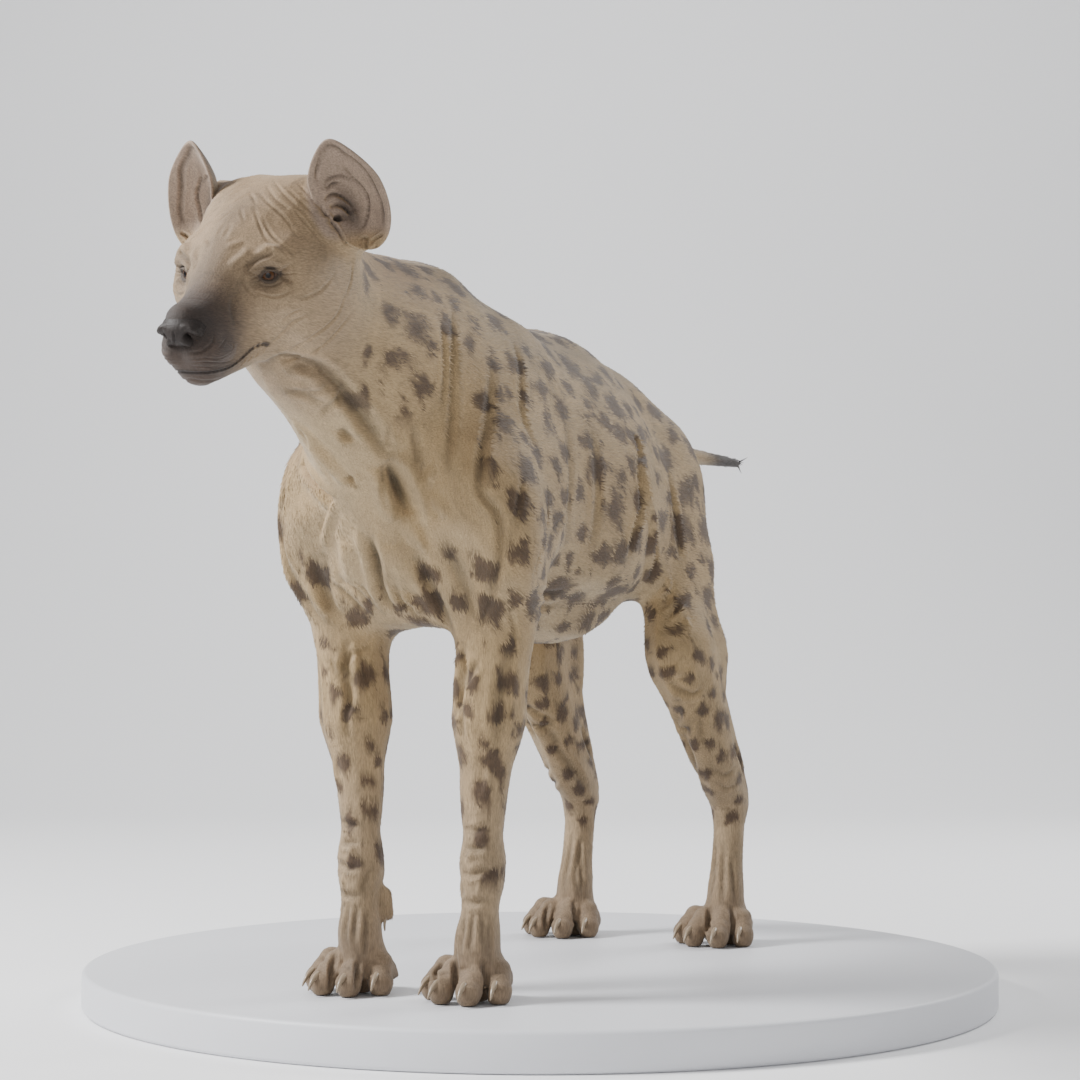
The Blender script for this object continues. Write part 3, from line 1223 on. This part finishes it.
def strands(scale):
    """A noise stretched along one axis."""
    stretched = add_node(tree, "Mapping", {"Vector": place, "Scale": scale}).outputs["Vector"]
    return add_node(tree, "TexNoise", {"Vector": stretched, "Scale": STRANDS, "Detail": 3.0}).outputs["Fac"]


tint = add_node(tree, "VertexColor", layer_name="coat").outputs["Color"]
down = add_node(tree, "Attribute", attribute_name="down").outputs["Fac"]
strand = add_node(
    tree,
    "Mix",
    {0: down, 2: strands((1, ALONG, 1)), 3: strands((1, 1, ALONG))},
    data_type="FLOAT",
).outputs[0]
shade = add_node(tree, "MapRange", {"Value": strand, "From Min": 0.3, "From Max": 0.7, "To Min": 0.72, "To Max": 1.2})
tinted = add_node(tree, "VectorMath", {0: tint, "Scale": shade.outputs["Result"]}, operation="SCALE").outputs["Vector"]
tree.links.new(tinted, shader.inputs["Base Color"])
bump = add_node(tree, "Bump", {"Height": strand, "Strength": 0.5, "Distance": 0.0012}).outputs["Normal"]
tree.links.new(bump, shader.inputs["Normal"])

hide.data.materials.clear()
hide.data.materials.append(short_hair)
_, leg, _, _ = parts_of(corners)
down_layer = hide.data.attributes.new("down", "FLOAT", "POINT")
down_layer.data.foreach_set("value", leg.astype(np.float32))
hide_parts(*flesh)
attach(hide, "root")

# %% [markdown]
# The coat itself is thousands of small tufts. Each lies almost flat along the skin in
# the direction in which the hair grows: backwards from the nose, down the chest and the
# legs, and up the ears. A rule for each part gives the direction, and the skin's own
# slope takes away what points in or out.
# %% The lie of the coat
HEAD_TURN = np.array(HEAD.to_3x3())


def comb(places, outwards):
    """The direction in which the hair lies, along the skin."""
    own = places - (MIDLINE, 0, GROUND)
    face = mapped(HEAD.inverted(), places)
    head, leg, foot, tail = parts_of(places)
    lie = np.tile([0.0, 1.0, -0.30], (len(places), 1))
    breast = ramp(-own[:, 1], 0.36, 0.46) * ramp(-own[:, 2], -0.72, -0.56)
    lie = mix(lie, (0.0, 0.25, -1.0), np.maximum(leg, breast))
    backwards = np.stack([0.35 * np.sign(face[:, 0]), np.ones(len(face)), np.full(len(face), 0.12)], 1)
    lie = mix(lie, backwards @ HEAD_TURN.T, head)
    lie = mix(lie, HEAD_TURN @ (0.0, 0.1, 1.0), in_ears(places))
    lie = mix(lie, (0.0, 1.0, 0.0), tail)
    swirl = np.stack([waves(places, 0.06, seed) for seed in (5, 6, 8)], 1)
    lie = lie + 0.16 * swirl + 0.10 * rng.normal(size=lie.shape)
    lie -= (lie * outwards).sum(1, keepdims=True) * outwards
    return lie / np.linalg.norm(lie, axis=1, keepdims=True)


# %% [markdown]
# For the export, each tuft needs its own small patch of a flat map, at its root's place
# on an unwrap of the skin. The unwrap goes round each part like a label round a bottle:
# one direction is the angle about the part's middle line, the other runs along it.
# %% Unwrap of the skin
PATCH = 0.003
SPINE_Y = (-0.60, -0.48, -0.33, -0.10, 0.27)
SPINE_Z = (0.770, 0.690, 0.640, 0.600, 0.620)
LEG_X = ((FORE_X := 0.083), (HIND_X := 0.110))


def stretched(values):
    """Values moved and scaled to fill 0.01 to 0.99."""
    return 0.01 + 0.98 * (values - values.min()) / max(np.ptp(values), 1e-9)


def unwrap(places, part):
    """Where roots lie on the flat map of their part."""
    own = places - (MIDLINE, 0, GROUND)
    if part == "head":
        own = mapped(HEAD.inverted(), places)
        angle = np.arctan2(own[:, 0], own[:, 2] + 0.01)
        return np.stack([stretched(angle), stretched(own[:, 1])], 1)
    if part == "trunk":
        angle = np.arctan2(own[:, 0], own[:, 2] - np.interp(own[:, 1], SPINE_Y, SPINE_Z))
        return np.stack([stretched(angle), stretched(own[:, 1])], 1)
    column = (own[:, 0] > 0) * 1 + (own[:, 1] > -0.1) * 2
    flat = np.zeros((len(own), 2))
    for i in range(4):
        mine = column == i
        if mine.any():
            middle_y = np.interp(own[mine, 2], (0.05, 0.2, 0.35, 0.5), (-0.36, -0.354, -0.352, -0.35))
            if i > 1:
                middle_y = np.interp(own[mine, 2], (0.05, 0.2, 0.35, 0.5), (0.26, 0.28, 0.16, 0.15))
            middle_x = (FORE_X if i < 2 else HIND_X) * (1 if i % 2 else -1)
            angle = np.arctan2(own[mine, 0] - middle_x, own[mine, 1] - middle_y)
            flat[mine] = np.stack([(i + stretched(angle)) / 4, stretched(own[mine, 2])], 1)
    return flat


# %% [markdown]
# A tuft is a thin three-sided spike. Its rings shrink from the root to the tip, it rises
# a little from the skin, and it bends back towards it. All the tufts of a piece are
# worked out together as one array and become one mesh. Their normals are nearly those of
# the skin beneath, so that the light falls on the coat as on one soft surface.
# %% One piece of coat
SINK = 0.0005  # the roots start this far inside the skin
RIDGE = 0.6  # a tuft's height over half its width
TILT = 0.35  # how far a tuft's sides turn from the skin beneath


def coat_piece(name, roots, outwards, folded, part, length, width, rise, rings):
    """A mesh of tufts. Length, width and rise hold a value for each root."""
    count = len(roots)
    lie = comb(roots, outwards)
    side = np.cross(outwards, lie)
    fractions = np.array([*(np.arange(rings) / rings), 1.0])
    length, width, rise = (np.broadcast_to(v, count)[:, None] for v in (length, width, rise))
    rows = []
    for f in fractions:
        up = length * (np.sin(rise) * f - 0.04 * f * f) - SINK * (1 - f)
        middle = roots + lie * length * f * np.cos(rise) + outwards * up
        if f == 1:
            rows.append(middle)
            continue
        half = width / 2 * (1 - f) ** 0.6
        rows += [middle - side * half, middle + outwards * half * RIDGE, middle + side * half]
    corners_of_tufts = np.stack(rows, 1)
    tip = 3 * rings
    faces = [(0, 1, 2)]
    for ring in range(0, tip - 3, 3):
        for i in range(3):
            j = (i + 1) % 3
            faces += [(ring + j, ring + i, ring + j + 3), (ring + j + 3, ring + i, ring + i + 3)]
    faces += [(tip - 3 + (i + 1) % 3, tip - 3 + i, tip) for i in range(3)]
    faces = np.array(faces)
    all_faces = (faces[None] + np.arange(count)[:, None, None] * (tip + 1)).reshape(-1, 3)

    mesh = bpy.data.meshes.new(name)
    mesh.vertices.add(count * (tip + 1))
    mesh.vertices.foreach_set("co", corners_of_tufts.astype(np.float32).ravel())
    mesh.loops.add(all_faces.size)
    mesh.loops.foreach_set("vertex_index", all_faces.astype(np.int32).ravel())
    mesh.polygons.add(len(all_faces))
    mesh.polygons.foreach_set("loop_start", np.arange(0, all_faces.size, 3, dtype=np.int32))
    mesh.polygons.foreach_set("use_smooth", np.ones(len(all_faces), bool))
    mesh.update(calc_edges=True)
    facing = [outwards + TILT * way for way in (*[-side, 0 * side, side] * rings, lie)]
    mesh.normals_split_custom_set_from_vertices(np.stack(facing, 1).reshape(-1, 3))
    piece = bpy.data.objects.new(name, mesh)
    bpy.context.scene.collection.objects.link(piece)

    spots_on_map = unwrap(roots, part)
    offset_u = np.array([*([-0.5, 0, 0.5] * rings), 0]) * PATCH
    offset_v = np.array([*np.repeat(fractions[:-1], 3), 1.0]) * PATCH - PATCH / 2
    patch = np.stack([
        spots_on_map[:, :1] + offset_u * (1 - offset_v / PATCH) / 1.5,
        spots_on_map[:, 1:] + offset_v,
    ], 2)
    mesh.uv_layers.new(name="OFBake")
    mesh.uv_layers["OFBake"].data.foreach_set("uv", patch.reshape(-1, 2)[all_faces.ravel()].astype(np.float32).ravel())

    tones = coat_colour(roots, outwards, folded) * rng.uniform(0.88, 1.12, (count, 1))
    shades = np.array([*np.repeat(0.88 + 0.16 * fractions[:-1], 3), 1.08])
    paint(piece, (tones[:, None] * shades[None, :, None]).reshape(-1, 3))
    piece.data.materials.append(tuft_hair)
    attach(piece, "root")
    print(name, count, "tufts,", len(all_faces), "triangles at", round(time.time() - started, 1), "s")
    return piece


tuft_hair, tree, shader = new_material("tufts of coarse hair")
shader.inputs["Roughness"].default_value = 0.62
shader.inputs["Specular IOR Level"].default_value = 0.35
shader.inputs["Sheen Weight"].default_value = 0.1
tint = add_node(tree, "VertexColor", layer_name="coat").outputs["Color"]
tree.links.new(tint, shader.inputs["Base Color"])

# %% [markdown]
# The trunk's coat is the longest, a centimetre or so, and longer still along the crest
# of the neck and the spine. The legs' is shorter. The face and the feet have only small
# fine tufts, and there are none on the lids, the lips and inside the ears.
# %% Coat of the trunk and the legs


def bare(places):
    """1 where no tuft grows: on the lids, the lips and the nose's edge."""
    face = mapped(HEAD.inverted(), places)
    nose_gap = np.linalg.norm((face - np.array(NOSE_AT)) / NOSE_SIZE, axis=1)
    lips = np.full(len(places), 1.0)
    for point in lip_line:
        lips = np.minimum(lips, ((places - point) ** 2).sum(1))
    edge = np.maximum(near_eyes(places, 0.018, 0.022), 1 - ramp(nose_gap, 1.05, 1.2))
    return np.maximum(edge, 1 - ramp(np.sqrt(lips), 0.003, 0.006))


def on_trunk(places, ways):
    head, leg, foot, tail = parts_of(places)
    return (1 - head) * (leg < 0.5) * (1 - round_ears(places))


def on_legs(places, ways):
    head, leg, foot, tail = parts_of(places)
    return (1 - head) * (leg >= 0.5) * (1 - foot)


def in_parts(name, part, count, density, share, length, width, rise, rings, pieces):
    """A coat of several pieces, from fore to aft, each with its share of the tufts."""
    roots, outwards, folded = scatter(count, density)
    order = np.argsort(roots[:, 1])
    for number, mine in enumerate(np.array_split(order, pieces), 1):
        places, ways = roots[mine], outwards[mine]
        size = share(places, ways) * rng.uniform(0.75, 1.25, len(mine))
        coat_piece(f"{name}_{number}", places, ways, folded[mine], part, length * size,
                   width * size**0.5, rise * rng.uniform(0.5, 1.5, len(mine)), rings)


def crest(places, ways):
    """Longer along the nape, the spine and the tail, shorter beneath."""
    own = places - (MIDLINE, 0, GROUND)
    head, leg, foot, tail = parts_of(places)
    middle = np.exp(-((own[:, 0] / 0.03) ** 2)) * ramp(ways[:, 2], 0.3, 0.8)
    shorter = 0.35 * ramp(-own[:, 1], 0.42, 0.60)
    return 1 + 0.5 * middle - shorter + 1.2 * tail * ramp(own[:, 1], 0.42, 0.56)


def even(places, ways):
    return np.ones(len(places))


in_parts("coat_trunk", "trunk", 76000, on_trunk, crest, 0.0085, 0.0019, 0.085, 2, 4)
in_parts("coat_legs", "legs", 30000, on_legs, even, 0.0062, 0.0015, 0.075, 2, 2)

# %% Coat of the head and the feet


def on_head(places, ways):
    head, leg, foot, tail = parts_of(places)
    facing = ramp(-(ways @ HEAD_TURN)[:, 1], -0.25, 0.15)
    lobe = ramp(-ear_leaf(places)[2], 0.35, 0.6)
    sparse = round_ears(places) * np.maximum(0.92 * facing, lobe)
    return np.maximum(head, round_ears(places)) * (1 - bare(places)) * (1 - sparse)


def on_feet(places, ways):
    head, leg, foot, tail = parts_of(places)
    return foot * 1.0


def by_muzzle(places, ways):
    """Shorter towards the muzzle, least inside the ears."""
    face = mapped(HEAD.inverted(), places)
    return 1 - 0.45 * ramp(-face[:, 1], 0.02, 0.14) - 0.7 * round_ears(places)


in_parts("coat_head", "head", 40000, on_head, by_muzzle, 0.0048, 0.0009, 0.075, 1, 1)
in_parts("coat_feet", "legs", 14000, on_feet, even, 0.0038, 0.0010, 0.07, 1, 1)

# %% [markdown]
# Each eye is a ball of its own, so that it can be wet and glossy while the lids are not.
# The sphere's pole points where the eye looks, so its own unwrap counts the angle from
# there: a black pupil, a dark brown iris with a black edge, then the dull white.
# %% Eyes
PUPIL = 10.5  # degrees from the pole
IRIS = 28.0
GAZE = math.radians(27)  # each eye looks outwards by this
RAMP_COLOURS = (
    (0.0, 0x050404),
    (PUPIL - 1, 0x050404),
    (PUPIL + 2, 0x38210f),
    (IRIS - 8, 0x4a2d15),
    (IRIS - 1, 0x1a0f09),
    (IRIS + 4, 0x4d3d33),
    (60.0, 0x5d4c42),
)
eye_gloss, tree, shader = new_material("wet eye")
shader.inputs["Roughness"].default_value = 0.10
shader.inputs["Specular IOR Level"].default_value = 0.18
unwrap_node = add_node(tree, "TexCoord").outputs["UV"]
from_pole = add_node(tree, "SeparateXYZ", {0: unwrap_node}).outputs["Y"]
rings_node = add_node(tree, "ValToRGB", {"Fac": from_pole})
steps = rings_node.color_ramp.elements
steps[0].color = colour(RAMP_COLOURS[-1][1])
steps[1].color = colour(RAMP_COLOURS[0][1])
for angle, hex_value in RAMP_COLOURS[1:]:
    steps.new(1 - angle / 180).color = colour(hex_value)
tree.links.new(rings_node.outputs["Color"], shader.inputs["Base Color"])

for side, centre, node in zip(SIDES, eye_centres, ("eye_left", "eye_right")):
    bpy.ops.mesh.primitive_uv_sphere_add(segments=64, ring_count=48, radius=EYE_RADIUS)
    eye = bpy.context.object
    eye.name = node + "_ball"
    look = HEAD.to_3x3() @ Vector((side * math.sin(GAZE), -math.cos(GAZE), 0.06))
    eye.data.transform(Matrix.Translation(centre) @ look.to_track_quat("Z", "Y").to_matrix().to_4x4())
    bpy.ops.object.shade_smooth()
    eye.data.materials.append(eye_gloss)
    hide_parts(node)
    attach(eye, "root")

# %% [markdown]
# The nose's bare leather is its own piece: a ball flattened to a pad, with a groove down
# its middle and a nostril on each side that curls up and outwards in a slit. Its surface
# has the fine cobbles of a dog's nose.
# %% Nose
NOSE_FOLDS = [
    ("philtrum", 2.4, 2.0, [(173.5, 331), (175.5, 346), (181, 356), (184, 364), (185, 370)]),
    ("nostril", 8.0, 9.0, [(183, 335), (189, 338), (196, 340), (201, 338)]),
    ("slit", 4.4, 5.5, [(193, 340), (201, 339), (206, 332), (209, 323)]),
    ("wing", 7.0, -2.0, [(180, 328), (188, 327), (197, 330), (202, 329)]),
]
LEATHER = colour(0x27211e)
leather, tree, shader = new_material("nose leather")
shader.inputs["Roughness"].default_value = 0.55
shader.inputs["Specular IOR Level"].default_value = 0.25
tint = add_node(tree, "VertexColor", layer_name="coat").outputs["Color"]
tree.links.new(tint, shader.inputs["Base Color"])
place = add_node(tree, "TexCoord").outputs["Object"]
cobbles = add_node(tree, "TexVoronoi", {"Vector": place, "Scale": 800.0}).outputs["Distance"]
bump = add_node(tree, "Bump", {"Height": cobbles, "Strength": 0.5, "Distance": 0.0006}).outputs["Normal"]
tree.links.new(bump, shader.inputs["Normal"])

bpy.ops.mesh.primitive_uv_sphere_add(segments=128, ring_count=96, radius=1)
nose = bpy.context.object
nose.name = "nose_leather"
nose.data.transform(HEAD @ Matrix.Translation(NOSE_AT) @ Matrix.Diagonal((*NOSE_SIZE, 1)))
surface = BVHTree.FromObject(nose, bpy.context.evaluated_depsgraph_get())
earlier = len(fold_marks)
carve(nose, NOSE_FOLDS[1:], HEAD, SIDES)
carve(nose, NOSE_FOLDS[:1], HEAD, SIDES[:1])
nose_places = points_of(nose)
hollow = np.zeros(len(nose_places))
for path, width, depth in fold_marks[earlier:]:
    gaps = np.linalg.norm(nose_places[:, None] - path[None], axis=2).min(1)
    hollow = np.maximum(hollow, np.exp(-((gaps / (0.6 * width)) ** 2)))
paint(nose, np.array(LEATHER[:3]) * (1 - 0.85 * hollow)[:, None])
only(nose)
bpy.ops.object.shade_smooth()
nose.data.materials.append(leather)
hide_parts("nose")
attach(nose, "root")

# %% [markdown]
# Claws are horn: blunt and dark, with a slight shine. The CAD claws have few sides, so a
# subdivision makes them round.
# %% Claws
horn, tree, shader = new_material("claw horn")
shader.inputs["Base Color"].default_value = colour(0x8a7a66)
shader.inputs["Roughness"].default_value = 0.35
claw_nodes = [n for n in frame["nodes"] if "claw" in n]
claws = copy_of(claw_nodes, "claws")
modify(claws, "SUBSURF", levels=2)
bpy.ops.object.shade_smooth()
claws.data.materials.append(horn)
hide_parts(*claw_nodes)
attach(claws, "root")

look_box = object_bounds()
sizes = {"cad": [list(p) for p in cad_box], "visual": [list(p) for p in look_box]}
print("script", round(time.time() - started, 1), "s")
